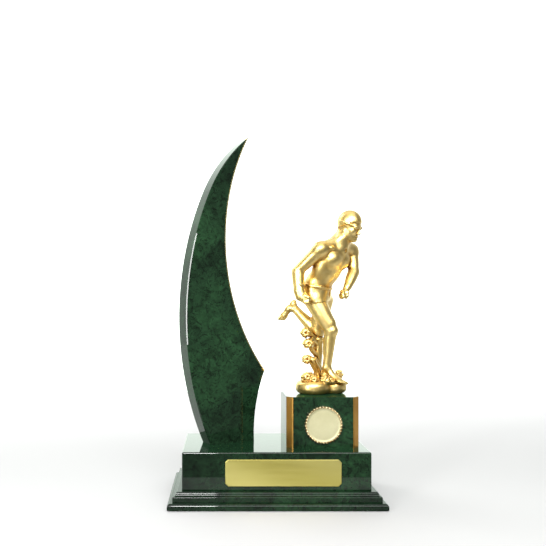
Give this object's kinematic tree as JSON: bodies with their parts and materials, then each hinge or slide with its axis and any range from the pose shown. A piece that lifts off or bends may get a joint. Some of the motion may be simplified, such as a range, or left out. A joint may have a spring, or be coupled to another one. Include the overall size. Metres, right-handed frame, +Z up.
{
  "type": "sports trophy",
  "caption": "Free-standing sports trophy: stepped gloss base, tall crescent board, medallion block and a gold swimmer running out of waves.",
  "frame": {"origin": "centre of the underside of the base, on the surface it stands on", "axes": "+Z up; the engraving plate and the medallion face -Y; +X is to the right seen from the front"},
  "size_m": [0.1538, 0.0958, 0.2724],
  "materials": {
    "green_lacquer": "high-gloss clear lacquer over dark green burl figure",
    "copper_trim": "copper-orange metallic foil, satin gloss",
    "gold_edging": "pale gold metallic foil",
    "gold_plate": "gold anodised, satin",
    "gold_figurine": "vacuum-metallised gold, satin, darker in the recesses",
    "medallion_gold": "vacuum-metallised gold",
    "medallion_disc": "pale matt gold, blank",
    "zinc_steel": "zinc plated",
    "brass_bush": "plain turned",
    "adhesive_pad": "double-sided foam tape",
    "baize": "short-pile baize",
    "dowel_wood": "fluted beech, here plain"
  },
  "bodies": {
    "root": {"baize_sheet": "baize", "base_block": "green_lacquer", "base_plinth": "green_lacquer", "clamp_lock_washer": "zinc_steel", "clamp_nut": "zinc_steel", "clamp_rod": "zinc_steel", "clamp_washer": "zinc_steel", "corner_trim_back_left": "copper_trim", "corner_trim_back_right": "copper_trim", "corner_trim_front_left": "copper_trim", "corner_trim_front_right": "copper_trim", "crescent_board": "green_lacquer", "crescent_dowel": "dowel_wood", "crescent_edge_strip": "gold_edging", "crescent_screws": "zinc_steel", "engraving_plate": "gold_plate", "figure_block": "green_lacquer", "figurine": "gold_figurine", "figurine_insert": "brass_bush", "medallion_holder": "medallion_gold", "medallion_insert": "medallion_disc", "medallion_tape": "adhesive_pad", "plate_tape": "adhesive_pad", "plinth_screws": "zinc_steel"}
  },
  "joints": []
}
